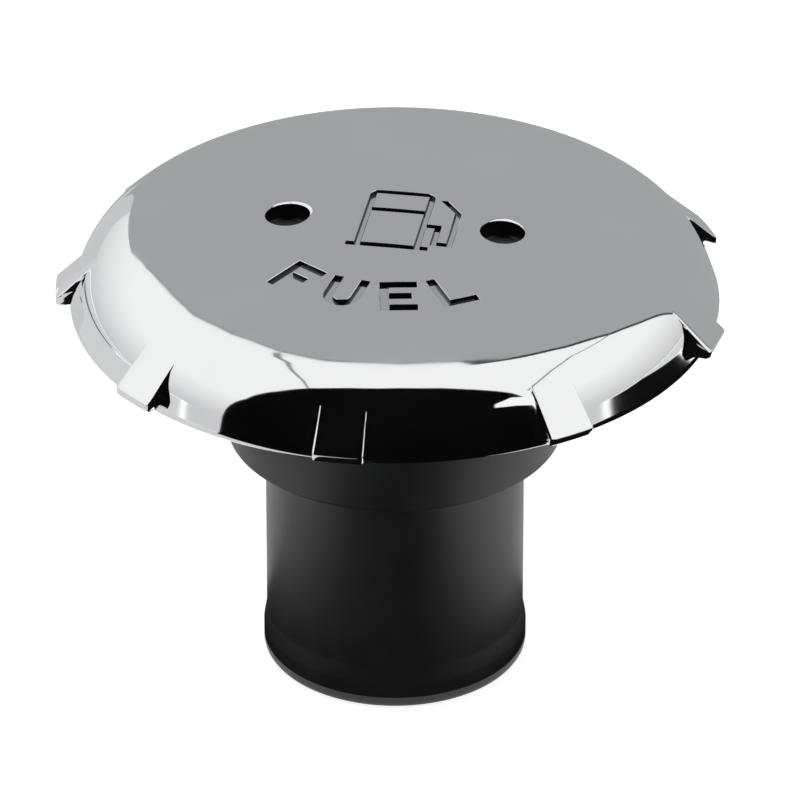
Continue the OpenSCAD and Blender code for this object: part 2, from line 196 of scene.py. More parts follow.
# the grey card on the far side is what the crown mirrors, and a darker one shows as a line round it
grey_outline = [(-205, 0), (-198, 240), (-170, 400), (-160, 534), (-138, 594), (-106, 658), (-65, 698), (0,
                                                                                                         712),
                (60, 704), (123, 696), (260, 812), (515, 887), (695, 780), (880, 460), (985, 110), (1000, 0)]
dark_outline = [(-200, 0), (-200, 215), (-174, 400), (-164, 546), (-141, 608), (-108, 673), (-68, 714), (4,
                                                                                                         729),
                (62, 720), (162, 810), (319, 919), (598, 964), (773, 818), (936, 463), (1015, 110), (1030, 0)]
standing_card("grey_card_behind", 600, grey_outline, "#a5a7a8")
standing_card("dark_edge_behind", 610, dark_outline, "#3c3d3e")
standing_card("light_card_behind", 620, [(-430, 60), (-300, 110), (-198, 230)], "#cbcccd")

# a black hood in front of the fitting, from the floor up and over it
hood = [(-782, -500), (-686, -430), (-468, -283), (-349, -202), (-200, -80), (-92, -17), (10, 9), (92, -18),
        (214, -120), (306, -191), (373, -245), (479, -337), (626, -448), (690, -500)]
hood_walls = [(-850, 720, floor_height), (-812, 652, 60), (-812, 652, 300), (-800, 668, 500)]
card("black_hood_front", [
    *([(low + (high - low) * k / (len(hood) - 1), -500, up) for k in range(len(hood))] for low, high,
      up in hood_walls),
    [(right, -500, 650) for right, away in hood],
    [(right, away, 650) for right, away in hood]], "#050505")

# a bent white strip just inside the hood's right edge
card("white_strip_right", [
    [(200, -240, 300), (220, -190, 320), (260, -190, 290), (320, -250, 180), (350, -270, 20)],
    [(210, -270, 280), (250, -250, 250), (290, -250, 220), (320, -290, 90), (340, -280, 20)]], "#ffffff")


# two grey strips overhead, where the room's white panels meet
card("grey_seam_left", [[(right + wide, away, up) for right, away, up in
                         ((-80, 380, 440), (-90, 330, 480), (-140, 180, 560), (-170, 30, 590), (-190, -80,
                                                                                                580))]
                        for wide in (0, 6)], "#7b7c7e")
card("grey_seam_right", [[(right + wide, away, up) for right, away, up in
                          ((290, 280, 450), (290, 230, 480), (280, 170, 510), (310, 40, 530), (350, -190,
                                                                                               490))]
                         for wide in (-9, 0)], "#7b7c7e")


def floor_card(name, right, away, colour):
    """A card that lies just above the floor between two places to the right and two places away."""
    card(name, [[(x, y, floor_height + 1) for x in right] for y in away], colour)


floor_card("light_card_on_floor", (-5000, -60), (-2500, 290), "#d6d7d8")
floor_card("dark_line_on_floor", (-900, -270), (290, 370), "#6d6e70")
floor_card("pale_card_far_left", (-5000, -300), (370, 3000), "#d6d7d8")
floor_card("pale_card_far_right", (420, 6000), (125, 3000), "#dcdddd")
floor_card("black_card_in_front", (-60, 120), (-1200, -60), "#0c0c0c")
card("black_card_at_foot", [[(right, away, floor_height + 2) for right in (-40, 32)] for away in (-60, 12)],
     "#0c0c0c")
floor_card("black_card_right", (120, 4000), (-1200, 125), "#0c0c0c")
back_rows = ((105, -60, 150), (290, -100, 400), (600, -170, 880))
card("grey_card_on_floor", [[(low, away, floor_height + 2), (high, away, floor_height + 2)]
                            for away, low, high in back_rows], "#a5a7a8")
card("light_card_on_back_floor", [[(low - 80 - away / 4, away, floor_height + 2), (low, away,
                                                                                   floor_height + 2)]
                                  for away, low, high in back_rows], "#cbcccd")


def softbox(name, place, size, power):
    """A rectangular lamp that points at the fitting and isn't seen in the chrome."""
    lamp = bpy.data.lights.new(name, "AREA")
    lamp.shape = "RECTANGLE"
    lamp.size, lamp.size_y = size[0] * MM, size[1] * MM
    lamp.energy = power
    made = bpy.data.objects.new(name, lamp)
    made.location = in_room(*place)
    made.rotation_mode = "QUATERNION"
    made.rotation_quaternion = (-made.location).to_track_quat("-Z", "Y")
    made.visible_glossy = False
    scene.collection.objects.link(made)


softbox("overhead_softbox", (-250, 100, 900), (900, 700), 3)


# ---- Fill body ----------------------------------------------------------------------------------
# One moulding of glass-filled nylon: the flange that is screwed to the deck, the collar that fills
# the hole and the hose tail with its bead. As moulded, it has a satin skin with a fine grain.
def filleted(corners, steps=4):
    """An outline of (radius, height, fillet) corners with every fillet drawn as an arc."""
    outline = []
    for i, (r, z, fillet) in enumerate(corners):
        here = Vector((r, z))
        if not fillet:
            outline.append(here)
            continue
        before = (Vector(corners[i - 1][:2]) - here).normalized()
        after = (Vector(corners[(i + 1) % len(corners)][:2]) - here).normalized()
        half = before.angle(after) / 2
        middle = here + (before + after).normalized() * (fillet / math.sin(half))
        start = here + before * (fillet / math.tan(half)) - middle
        turn = start.angle_signed(here + after * (fillet / math.tan(half)) - middle)
        for k in range(steps + 1):
            spoke = start.copy()
            spoke.rotate(Matrix.Rotation(-turn * k / steps, 2))
            outline.append(middle + spoke)
    return outline


def revolve(outline, steps=192, closed=True):
    """A new bmesh: an outline of (radius, height) points, spun once round the axis."""
    bm = bmesh.new()
    ring = [bm.verts.new((p[0], 0, p[1])) for p in outline]
    pairs = zip(ring, ring[1:] + ring[:1]) if closed else zip(ring, ring[1:])
    edges = [bm.edges.new(pair) for pair in pairs]
    bmesh.ops.spin(bm, geom=ring + edges, cent=(0, 0, 0), axis=UP, angle=math.tau, steps=steps,
                   use_merge=True, use_duplicate=False)
    bmesh.ops.remove_doubles(bm, verts=bm.verts, dist=1e-4)
    bmesh.ops.recalc_face_normals(bm, faces=bm.faces)
    return bm


def moved(bm, x=0, y=0, z=0, turn=None):
    """The same bmesh, turned and then moved."""
    if turn:
        bmesh.ops.rotate(bm, verts=bm.verts, cent=(0, 0, 0), matrix=turn)
    bmesh.ops.translate(bm, verts=bm.verts, vec=(x, y, z))
    return bm


def on_circle(radius, angle):
    """How far x and y lie from the axis, on a circle, at an angle in degrees."""
    return {"x": radius * math.cos(math.radians(angle)), "y": radius * math.sin(math.radians(angle))}


def plain_rod(radius, low, high, steps=48):
    """A round rod on the axis between two heights, for drilling."""
    return revolve([(0, low), (radius, low), (radius, high), (0, high)], steps, closed=False)


def thread_ridge(root, crest, base, top, first_z, turns, fade=0.12):
    """A right-handed thread's ridge: its section is spun upwards, and it fades into the root at both ends."""
    bm = bmesh.new()
    steps = 96
    section = [(root, -base / 2), (crest, -top / 2), (crest, top / 2), (root, base / 2)]
    ring = [bm.verts.new((r, 0, first_z + z)) for r, z in section]
    edges = [bm.edges.new(pair) for pair in zip(ring, ring[1:] + ring[:1])]
    bmesh.ops.spin(bm, geom=ring + edges, cent=(0, 0, 0), axis=UP, dvec=(0, 0, thread_pitch / steps),
                   angle=math.tau * turns, steps=round(steps * turns), use_duplicate=False)
    bmesh.ops.holes_fill(bm, edges=bm.edges, sides=4)
    for v in bm.verts:
        part_turn = math.atan2(v.co.y, v.co.x) / math.tau
        progress = part_turn + round((v.co.z - first_z) / thread_pitch - part_turn)
        height = min(1, max(0.02, min(progress, turns - progress) / fade))
        radius = math.hypot(v.co.x, v.co.y)
        scale = (root + (radius - root) * height) / radius
        v.co.x *= scale
        v.co.y *= scale
    bmesh.ops.recalc_face_normals(bm, faces=bm.faces)
    return bm


def solid(bm, name, material):
    """Turns a bmesh in millimetres into an object in metres."""
    bmesh.ops.scale(bm, vec=(MM, MM, MM), verts=bm.verts)
    mesh = bpy.data.meshes.new(name)
    bm.to_mesh(mesh)
    bm.free()
    mesh.materials.append(material)
    made = bpy.data.objects.new(name, mesh)
    scene.collection.objects.link(made)
    return made


def combine(made, others, operation):
    """Adds other solids to a solid or cuts them away, and removes them."""
    for other in others:
        step = made.modifiers.new("combine", "BOOLEAN")
        step.operation = operation
        step.solver = "EXACT"
        step.material_mode = "TRANSFER"
        step.object = other
        shaped = bpy.data.meshes.new_from_object(made.evaluated_get(bpy.context.evaluated_depsgraph_get()))
        made.modifiers.clear()
        made.data = shaped
        bpy.data.meshes.remove(other.data)


def finish_piece(made, body, nodes, smooth_angle=32):
    """Shades a piece, lets it ride on its body and has it stand for its CAD nodes."""
    for face in made.data.polygons:
        face.use_smooth = True
    made.data.set_sharp_from_angle(angle=math.radians(smooth_angle))
    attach(made, body)
    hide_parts(*nodes)


def surface(name, **settings):
    """A new material, its node tree, its shader with these settings, and its place on the piece."""
    made = bpy.data.materials.new(name)
    made.use_nodes = True
    shader = made.node_tree.nodes["Principled BSDF"]
    for key, value in settings.items():
        shader.inputs[key.replace("_", " ")].default_value = value
    place = add_node(made.node_tree, "ShaderNodeTexCoord").outputs["Object"]
    return made, made.node_tree, shader, place


def link_up(tree, shader, tone=None, gloss=None, relief=None):
    """Links the nodes for a material's colour, roughness and relief to its shader."""
    for source, output, socket in ((tone, "Color", "Base Color"), (gloss, "Result", "Roughness"),
                                   (relief, "Normal", "Normal")):
        if source:
            tree.links.new(source.outputs[output], shader.inputs[socket])


nylon, tree, shader, place = surface("moulded_black_nylon", IOR=1.53)
# glass fibres near the skin leave soft, long clouds of a slightly different gloss
clouds = add_node(tree, "ShaderNodeTexNoise", {"Vector": place}, Scale=1 / (9 * MM), Detail=3)
tone = add_node(tree, "ShaderNodeValToRGB", {"Fac": clouds.outputs["Fac"]})
tone.color_ramp.elements[0].position, tone.color_ramp.elements[0].color = 0.3, linear("#0f1011")
tone.color_ramp.elements[1].position, tone.color_ramp.elements[1].color = 0.7, linear("#151618")
gloss = add_node(tree, "ShaderNodeMapRange", {"Value": clouds.outputs["Fac"]}, To_Min=0.4, To_Max=0.52)
# the mould's spark-eroded grain is about 0.12 mm across and is drawn at 0.3 mm, so that it shows
grain = add_node(tree, "ShaderNodeTexNoise", {"Vector": place}, Scale=1 / (0.3 * MM), Detail=2)
relief = add_node(tree, "ShaderNodeBump", {"Height": grain.outputs["Fac"]}, Strength=0.35, Distance=0.03 * MM)
link_up(tree, shader, tone=tone, gloss=gloss, relief=relief)

flange_r, flange_top, gasket_t = 41, 4.5, 1
collar_r, collar_low = 24.65, -20.3
tail_r, tail_low, bore_r, outlet_r = 19.05, -57.4, 16, 14
bead_r, bead_top = 19.5, -53.2
neck_r, neck_low = 22.2, -17.5
seat_r, seat_z = 23.67, 1.83
lip_z = -47.157
thread_pitch = 4

moulding = revolve(filleted([
    (neck_r, seat_z, 0.3), (seat_r, seat_z, 0.2), (seat_r, flange_top, 0.3), (flange_r, flange_top, 1),
    (flange_r, gasket_t, 0.2), (collar_r, gasket_t, 0), (collar_r, collar_low, 0.5),
    (tail_r, collar_low, 0.4), (tail_r, bead_top + 2.7, 6), (bead_r, bead_top, 3), (bead_r, tail_low, 1.3),
    (outlet_r, tail_low, 0.4), (outlet_r, lip_z, 0.3), (bore_r, lip_z, 0.2), (bore_r, neck_low, 0.3),
    (neck_r, neck_low, 0.2)]))
fill_body = solid(moulding, "fill_body_moulding", nylon)
neck_thread = thread_ridge(neck_r + 0.2, 20.9, 1.9, 1.1, -9.6, 1.8)
combine(fill_body, [solid(neck_thread, "neck_thread", nylon)], "UNION")

screw_hole_r, screw_head_r, screw_circle_r, screw_angles = 2.6, 5.2, 31, (90, 210, 330)
countersink = screw_head_r - screw_hole_r
for angle in screw_angles:
    drill = revolve([(0, 0), (screw_hole_r, 0), (screw_hole_r, flange_top - countersink),
                     (screw_head_r + 0.5, flange_top + 0.5), (0, flange_top + 0.5)], 48, closed=False)
    drill = moved(drill, turn=Matrix.Rotation(math.radians(angle), 3, "Z"),
                  **on_circle(screw_circle_r, angle))
    combine(fill_body, [solid(drill, "screw_hole", nylon)], "DIFFERENCE")
finish_piece(fill_body, "deck_fitting", ["fill_body"])


# ---- Deck gasket --------------------------------------------------------------------------------
# Closed-cell rubber sheet, die-cut to the flange, with the three screw holes punched through.
# It is matt and faintly mottled, with a rounded, slightly squeezed edge.
rubber, tree, shader, place = surface("closed_cell_rubber", Roughness=0.8, IOR=1.5)
# cells of about 0.2 mm, drawn at 0.4 mm so that they show
cells = add_node(tree, "ShaderNodeTexVoronoi", {"Vector": place}, Scale=1 / (0.4 * MM))
tone = add_node(tree, "ShaderNodeValToRGB", {"Fac": cells.outputs["Distance"]})
tone.color_ramp.elements[0].color = linear("#2a2b2c")
tone.color_ramp.elements[1].color = linear("#363839")
relief = add_node(tree, "ShaderNodeBump", {"Height": cells.outputs["Distance"]}, Strength=0.4,
                  Distance=0.05 * MM)
link_up(tree, shader, tone=tone, relief=relief)

gasket_r, gasket_hole_r = 40.6, 26
gasket = solid(revolve(filleted([(gasket_hole_r, 0.01, 0.3), (gasket_r, 0.01, 0.3),
                                 (gasket_r, gasket_t - 0.01, 0.3), (gasket_hole_r, gasket_t - 0.01, 0.3)])),
               "deck_gasket_sheet", rubber)
for angle in screw_angles:
    punch = plain_rod(screw_hole_r, -1, 2)
    punch = moved(punch, **on_circle(screw_circle_r, angle))
    combine(gasket, [solid(punch, "gasket_hole", rubber)], "DIFFERENCE")
finish_piece(gasket, "deck_fitting", ["deck_gasket"])


# ---- Retainer ring ------------------------------------------------------------------------------
# A ring blanked from 2 mm stainless sheet and pressed into the neck over the toggle bar. Rolled
# sheet has a fine grain one way, and the blanking tool leaves a rounded upper edge.
sheet_steel, tree, shader, place = surface("rolled_stainless_sheet", Metallic=1, Base_Color=linear("#c4c3c0"))
# the rolling grain is 0.15 mm across the roll and some 6 mm along it
stretch = add_node(tree, "ShaderNodeMapping", {"Vector": place},
                   Scale=(1 / (6 * MM), 1 / (0.15 * MM), 1 / (0.15 * MM)))
streaks = add_node(tree, "ShaderNodeTexNoise", {"Vector": stretch.outputs["Vector"]}, Scale=1, Detail=3)
gloss = add_node(tree, "ShaderNodeMapRange", {"Value": streaks.outputs["Fac"]}, To_Min=0.22, To_Max=0.42)
relief = add_node(tree, "ShaderNodeBump", {"Height": streaks.outputs["Fac"]}, Strength=0.2,
                  Distance=0.01 * MM)
link_up(tree, shader, gloss=gloss, relief=relief)

ring_hole_r, ring_low, ring_top = 12.5, -17.48, -15.5
ring = solid(revolve(filleted([(ring_hole_r, ring_low, 0.1), (neck_r - 0.01, ring_low, 0.1),
                               (neck_r - 0.01, ring_top, 0.3), (ring_hole_r, ring_top, 0.4)])),
             "retainer_ring_plate", sheet_steel)
finish_piece(ring, "deck_fitting", ["retainer_ring"])


# ---- Toggle bar ---------------------------------------------------------------------------------
# Turned from drawn stainless bar, with round ends that slide past the ring when it is tipped, and
# two collars that keep the link in the middle. Fine turning marks run round it.
drawn_steel, tree, shader, place = surface("drawn_stainless", Metallic=1, Base_Color=linear("#c9c8c5"))
# turning marks 0.1 mm apart, drawn at 0.25 mm, and patches of handling wear some 3 mm across
marks = add_node(tree, "ShaderNodeTexWave", {"Vector": place}, bands_direction="X",
                 Scale=1 / (0.25 * MM) / math.tau, Distortion=1)
wear = add_node(tree, "ShaderNodeTexNoise", {"Vector": place}, Scale=1 / (3 * MM), Detail=4)
gloss = add_node(tree, "ShaderNodeMapRange", {"Value": wear.outputs["Fac"]}, To_Min=0.16, To_Max=0.34)
relief = add_node(tree, "ShaderNodeBump", {"Height": marks.outputs["Fac"]}, Strength=0.1, Distance=0.01 * MM)
link_up(tree, shader, gloss=gloss, relief=relief)

toggle_half, toggle_r, toggle_z = 15, 1.6, -45.457
collar_wide, collar_x = 2.4, (1.3, 2.3)
half_outline = filleted([(0, 0, 0), (toggle_r, 0, 0), (toggle_r, collar_x[0], 0.15),
                         (collar_wide, collar_x[0], 0.25), (collar_wide, collar_x[1], 0.25),
                         (toggle_r, collar_x[1], 0.15), (toggle_r, toggle_half, toggle_r * 0.98),
                         (0, toggle_half, 0)], steps=8)
bar_outline = [Vector((r, -z)) for r, z in reversed(half_outline[2:])] + half_outline[2:]
bar = revolve(bar_outline, 48, closed=False)
bar = moved(bar, z=toggle_z, turn=Matrix.Rotation(math.radians(90), 3, "Y"))
finish_piece(solid(bar, "toggle_bar_turned", drawn_steel), "toggle", ["toggle_bar"])


# ---- Oblong link --------------------------------------------------------------------------------
# One length of 1.5 mm stainless wire, bent to an oblong and butt-welded on one straight side, which
# leaves a small bead. The toggle bar and the coupling's eye hang in it.
link_r, wire_r, link_top, link_low = 2.6, 0.75, -44.257, -51.657
bm = bmesh.new()
bmesh.ops.create_circle(bm, segments=20, radius=wire_r)
bmesh.ops.translate(bm, verts=bm.verts, vec=(link_r, 0, 0))
bmesh.ops.rotate(bm, verts=bm.verts, cent=(0, 0, 0), matrix=Matrix.Rotation(math.radians(90), 3, "Z"))
bmesh.ops.spin(bm, geom=bm.verts[:] + bm.edges[:], cent=(0, 0, 0), axis=(1, 0, 0), angle=math.tau, steps=64,
               use_merge=True, use_duplicate=False)
half_straight = (link_top - link_low) / 2
bmesh.ops.bisect_plane(bm, geom=bm.verts[:] + bm.edges[:] + bm.faces[:], dist=1e-4, plane_co=(0, 0, 0),
                       plane_no=UP)
bmesh.ops.split_edges(bm, edges=[e for e in bm.edges if all(abs(v.co.z) < 1e-4 for v in e.verts)])
upper = [f for f in bm.faces if f.calc_center_median().z > 0]
bmesh.ops.translate(bm, verts=list({v for f in upper for v in f.verts}), vec=(0, 0, half_straight))
lower = [f for f in bm.faces if f.calc_center_median().z < 0 and f not in upper]
bmesh.ops.translate(bm, verts=list({v for f in lower for v in f.verts}), vec=(0, 0, -half_straight))
for side in (-1, 1):
    open_edges = [e for e in bm.edges if e.is_boundary and e.verts[0].co.y * side > 0]
    bmesh.ops.bridge_loops(bm, edges=open_edges)
bmesh.ops.recalc_face_normals(bm, faces=bm.faces)
bmesh.ops.translate(bm, verts=bm.verts, vec=(0, 0, (link_top + link_low) / 2))
link = solid(bm, "oblong_link_wire", drawn_steel)
weld = bmesh.new()
bmesh.ops.create_uvsphere(weld, u_segments=24, v_segments=16, radius=wire_r * 1.12)
bmesh.ops.scale(weld, verts=weld.verts, vec=(1, 1, 0.6))
weld = moved(weld, y=link_r, z=(link_top + link_low) / 2)
combine(link, [solid(weld, "link_weld", drawn_steel)], "UNION")
finish_piece(link, "chain", ["oblong_link"])


# ---- Chain coupling -----------------------------------------------------------------------------
# A clasp of bright-plated steel: a closed cup holds the last bead, the chain's wire comes in through
# its mouth, and its flat tongue ends in the eye for the link.
bright_steel, tree, shader, place = surface("bright_plated_steel", Metallic=1, Base_Color=linear("#d2d2cf"))
# rubbing in use leaves duller patches some 1.5 mm across
wear = add_node(tree, "ShaderNodeTexNoise", {"Vector": place}, Scale=1 / (1.5 * MM), Detail=5)
gloss = add_node(tree, "ShaderNodeMapRange", {"Value": wear.outputs["Fac"]}, From_Min=0.35, From_Max=0.75,
                 To_Min=0.08, To_Max=0.26)
relief = add_node(tree, "ShaderNodeBump", {"Height": wear.outputs["Fac"]}, Strength=0.15, Distance=0.02 * MM)
link_up(tree, shader, gloss=gloss, relief=relief)

coupling_r, coupling_bore_r, coupling_low, coupling_top = 2.15, 1.7, -39.057, -34.557
mouth_r, eye_r, eye_hole_r, eye_t, eye_z = 0.7, 1.9, 1.1, 1.2, -41.657
cup = solid(revolve(filleted([
    (0, coupling_low, 0), (coupling_r, coupling_low, 0.4), (coupling_r, coupling_top, 0.4),
    (mouth_r, coupling_top, 0.1), (mouth_r, coupling_top - 0.4, 0.1), (coupling_bore_r, coupling_top - 0.4,
                                                                       0.5),
    (coupling_bore_r, coupling_low + 0.4, 0.5), (0, coupling_low + 0.4, 0)]), 64, closed=False),
    "chain_coupling_clasp", bright_steel)
bm = bmesh.new()
bmesh.ops.create_cone(bm, cap_ends=True, segments=48, radius1=eye_r, radius2=eye_r, depth=eye_t)
bmesh.ops.bevel(bm, geom=[e for e in bm.edges if e.calc_face_angle(0) > 1], offset=0.15, segments=2,
                profile=0.5,
                affect="EDGES", material=-1)
bm = moved(bm, z=eye_z, turn=Matrix.Rotation(math.radians(90), 3, "X"))
eye = solid(bm, "eye_disc", bright_steel)
bm = bmesh.new()
bmesh.ops.create_cube(bm, size=1)
bmesh.ops.scale(bm, verts=bm.verts, vec=(2 * eye_r - 0.02, eye_t - 0.02, coupling_low + 0.2 - eye_z))
bmesh.ops.bevel(bm, geom=[e for e in bm.edges if abs(e.verts[0].co.z - e.verts[1].co.z) > 1], offset=0.15,
                segments=2, profile=0.5, affect="EDGES", material=-1)
tongue = solid(moved(bm, z=(eye_z + coupling_low + 0.2) / 2), "eye_tongue", bright_steel)
combine(cup, [eye, tongue], "UNION")
hole = plain_rod(eye_hole_r, -2, 2)
hole = moved(hole, z=eye_z, turn=Matrix.Rotation(math.radians(90), 3, "X"))
combine(cup, [solid(hole, "eye_hole", bright_steel)], "DIFFERENCE")
finish_piece(cup, "chain", ["chain_coupling"])


# ---- Bead chain ---------------------------------------------------------------------------------
# Beads rolled from bright strip, each with a closing seam. The short pins between real beads are
# drawn as one straight wire, and the whole chain hangs straight from the stirrup.
bead_count, bead_pitch, chain_bead_r, rod_r, first_bead_z = 8, 4.2, 1.6, 0.45, -7.257
bm = bmesh.new()
for i in range(bead_count):
    profile = [Vector((chain_bead_r * math.sin(a), chain_bead_r * math.cos(a)))
               for a in (math.pi * k / 20 for k in range(1, 20))]
    bead = revolve([Vector((0, chain_bead_r)), *profile, Vector((0, -chain_bead_r))], 32, closed=False)
    # the strip's edges meet in a shallow seam down one side of the bead
    for v in bead.verts:
        if abs(math.atan2(v.co.y, v.co.x)) < 0.01:
            v.co *= 0.965
    bmesh.ops.rotate(bead, verts=bead.verts, cent=(0, 0, 0), matrix=Matrix.Rotation(math.radians(70 * i), 3,
                                                                                    "Z"))
    bmesh.ops.translate(bead, verts=bead.verts, vec=(0, 0, first_bead_z - i * bead_pitch))
    link_mesh = bpy.data.meshes.new("bead")
    bead.to_mesh(link_mesh)
    bead.free()
    bm.from_mesh(link_mesh)
    bpy.data.meshes.remove(link_mesh)
bead_chain = solid(bm, "bead_chain_beads", bright_steel)
rod = plain_rod(rod_r, 0, bead_pitch * (bead_count - 1), 20)
rod = solid(moved(rod, z=first_bead_z - bead_pitch * (bead_count - 1)), "chain_pins", bright_steel)
combine(bead_chain, [rod], "UNION")
finish_piece(bead_chain, "chain", ["bead_chain"])


# ---- Swivel stirrup -----------------------------------------------------------------------------
# A strap of 1.2 mm stainless, bent into a closed frame round a former, with a hole at the top for the
# shouldered screw and one at the bottom for the chain. Its edges are tumbled smooth.
strap_w, strap_t, frame_w, frame_top, frame_low, bend_r = 6, 1.2, 16, -0.75, -9.8, 1.8
pivot_hole_r, chain_hole_r = 2.45, 0.9
bm = bmesh.new()
bmesh.ops.create_cube(bm, size=1)
bmesh.ops.scale(bm, verts=bm.verts, vec=(frame_w, strap_w, frame_top - frame_low))
window = bm.copy()
bmesh.ops.scale(window, verts=window.verts, vec=((frame_w - 2 * strap_t) / frame_w, 2,
                                                 1 - 2 * strap_t / (frame_top - frame_low)))
for shape, corner in ((bm, bend_r), (window, bend_r - strap_t)):
    bmesh.ops.bevel(shape, geom=[e for e in shape.edges if abs(e.verts[0].co.y - e.verts[1].co.y) > 1],
                    offset=corner, segments=6, profile=0.5, affect="EDGES", material=-1)
stirrup = solid(bm, "swivel_stirrup_strap", sheet_steel)
holes = [solid(window, "stirrup_window", sheet_steel)]
middle = (frame_top + frame_low) / 2
for radius, low, high in ((pivot_hole_r, 0, 10), (chain_hole_r, -10, 0)):
    drill = plain_rod(radius, low, high)
    holes.append(solid(drill, "stirrup_hole", sheet_steel))
combine(stirrup, holes, "DIFFERENCE")
bm = bmesh.new()
bm.from_mesh(stirrup.data)
bmesh.ops.remove_doubles(bm, verts=bm.verts, dist=1e-4 * MM)
bmesh.ops.bevel(bm, geom=[e for e in bm.edges if len(e.link_faces) == 2 and e.calc_face_angle(0) > 1],
                offset=0.15 * MM, segments=2, profile=0.5, affect="EDGES", material=-1, clamp_overlap=True)
bmesh.ops.translate(bm, verts=bm.verts, vec=(0, 0, middle * MM))
bm.to_mesh(stirrup.data)
bm.free()
finish_piece(stirrup, "chain", ["swivel_stirrup"])


# ---- Threaded plug ------------------------------------------------------------------------------
# Turned-finish nylon moulding screwed under the shell: a head disc, a spigot with the coarse
# right-handed thread, and a middle boss for the swivel screw. Cleaner and glossier than the body.
plug_nylon, tree, shader, place = surface("moulded_plug_nylon", IOR=1.53)
clouds = add_node(tree, "ShaderNodeTexNoise", {"Vector": place}, Scale=1 / (6 * MM), Detail=3)
tone = add_node(tree, "ShaderNodeValToRGB", {"Fac": clouds.outputs["Fac"]})
tone.color_ramp.elements[0].color = linear("#17191a")
tone.color_ramp.elements[1].color = linear("#1f2123")
gloss = add_node(tree, "ShaderNodeMapRange", {"Value": clouds.outputs["Fac"]}, To_Min=0.28, To_Max=0.42)
# the polished tool leaves faint draw lines up and down the spigot, 0.3 mm apart
stretch = add_node(tree, "ShaderNodeMapping", {"Vector": place},
                   Scale=(1 / (0.3 * MM), 1 / (0.3 * MM), 1 / (5 * MM)))
lines = add_node(tree, "ShaderNodeTexNoise", {"Vector": stretch.outputs["Vector"]}, Scale=1, Detail=2)
relief = add_node(tree, "ShaderNodeBump", {"Height": lines.outputs["Fac"]}, Strength=0.2, Distance=0.01 * MM)
link_up(tree, shader, tone=tone, gloss=gloss, relief=relief)

plug_r, plug_bore_r, plug_low, head_r, head_low, head_top = 20.4, 17.2, -10.5, 26, 5.1, 8.6
boss_r, boss_low, boss_hole_r, boss_hole_top = 5, -0.5, 1.5, 5
plug = solid(revolve(filleted([
    (0, head_top, 0), (head_r, head_top, 0.4), (head_r, head_low, 0.4), (plug_r, head_low, 0),
    (plug_r, plug_low, 1), (plug_bore_r, plug_low, 0.4), (plug_bore_r, head_low, 0.8),
    (boss_r, head_low, 0.6), (boss_r, boss_low, 0.3), (boss_hole_r, boss_low, 0),
    (boss_hole_r, boss_hole_top, 0), (0, boss_hole_top, 0)]), closed=False), "threaded_plug_moulding",
    plug_nylon)
plug_thread = thread_ridge(plug_r - 0.2, 21.7, 1.9, 1.1, -7.4, 1.5)
combine(plug, [solid(plug_thread, "plug_thread", plug_nylon)], "UNION")
fixing_circle_r, fixing_clear_r, fixing_hole_r, fixing_angles = 12, 2.2, 2.05, (45, 135, 225, 315)
for angle in fixing_angles:
    drill = plain_rod(fixing_clear_r, head_low - 1, head_top + 1, 32)
    drill = moved(drill, **on_circle(fixing_circle_r, angle))
    combine(plug, [solid(drill, "fixing_hole", plug_nylon)], "DIFFERENCE")
finish_piece(plug, "cap", ["threaded_plug"])


# ---- O-ring -------------------------------------------------------------------------------------
# A nitrile ring of 3 mm section under the plug's head. It is smooth and dull, with the thin flash
# line of its mould round the outside.
nitrile, tree, shader, place = surface("nitrile_rubber", Base_Color=linear("#141415"), IOR=1.52)
# a bloom of wax and dust in patches of about 2 mm
bloom = add_node(tree, "ShaderNodeTexNoise", {"Vector": place}, Scale=1 / (2 * MM), Detail=5)
gloss = add_node(tree, "ShaderNodeMapRange", {"Value": bloom.outputs["Fac"]}, To_Min=0.35, To_Max=0.65)
relief = add_node(tree, "ShaderNodeBump", {"Height": bloom.outputs["Fac"]}, Strength=0.1, Distance=0.02 * MM)
link_up(tree, shader, gloss=gloss, relief=relief)

seal_r, seal_circle_r, seal_z, flash = 1.5, 21.92, 3.58, 0.04
section = [Vector((seal_circle_r + seal_r * math.cos(a), seal_z + seal_r * math.sin(a)))
           for a in (math.tau * k / 32 for k in range(1, 32))]
section += [Vector((seal_circle_r + seal_r, seal_z + flash)), Vector((seal_circle_r + seal_r + flash,
                                                                      seal_z)),
            Vector((seal_circle_r + seal_r, seal_z - flash))][::-1]
o_ring = solid(revolve(section), "o_ring_seal", nitrile)
finish_piece(o_ring, "cap", ["o_ring"], smooth_angle=50)


# ---- Plug screws, washers and chain screw ----------------------------------------------------------
# Cold-headed stainless screws with cross recesses, on plain washers, hold the plug to the shell from
# below. A slotted, shouldered screw in the middle boss is the pin on which the stirrup swivels.
screw_steel, tree, shader, place = surface("cold_headed_stainless", Metallic=1, Base_Color=linear("#cfcecb"))
# tumbling marks of about 0.4 mm
dents = add_node(tree, "ShaderNodeTexNoise", {"Vector": place}, Scale=1 / (0.4 * MM), Detail=3)
gloss = add_node(tree, "ShaderNodeMapRange", {"Value": dents.outputs["Fac"]}, To_Min=0.2, To_Max=0.36)
relief = add_node(tree, "ShaderNodeBump", {"Height": dents.outputs["Fac"]}, Strength=0.15,
                  Distance=0.015 * MM)
link_up(tree, shader, gloss=gloss, relief=relief)


def slot_cutter(length, width, low, high, turn=0):
    """A straight slot of the given size that runs between two heights."""
    bm = bmesh.new()
    bmesh.ops.create_cube(bm, size=1)
    bmesh.ops.scale(bm, verts=bm.verts, vec=(length, width, high - low))
    return moved(bm, z=(low + high) / 2, turn=Matrix.Rotation(math.radians(turn), 3, "Z"))


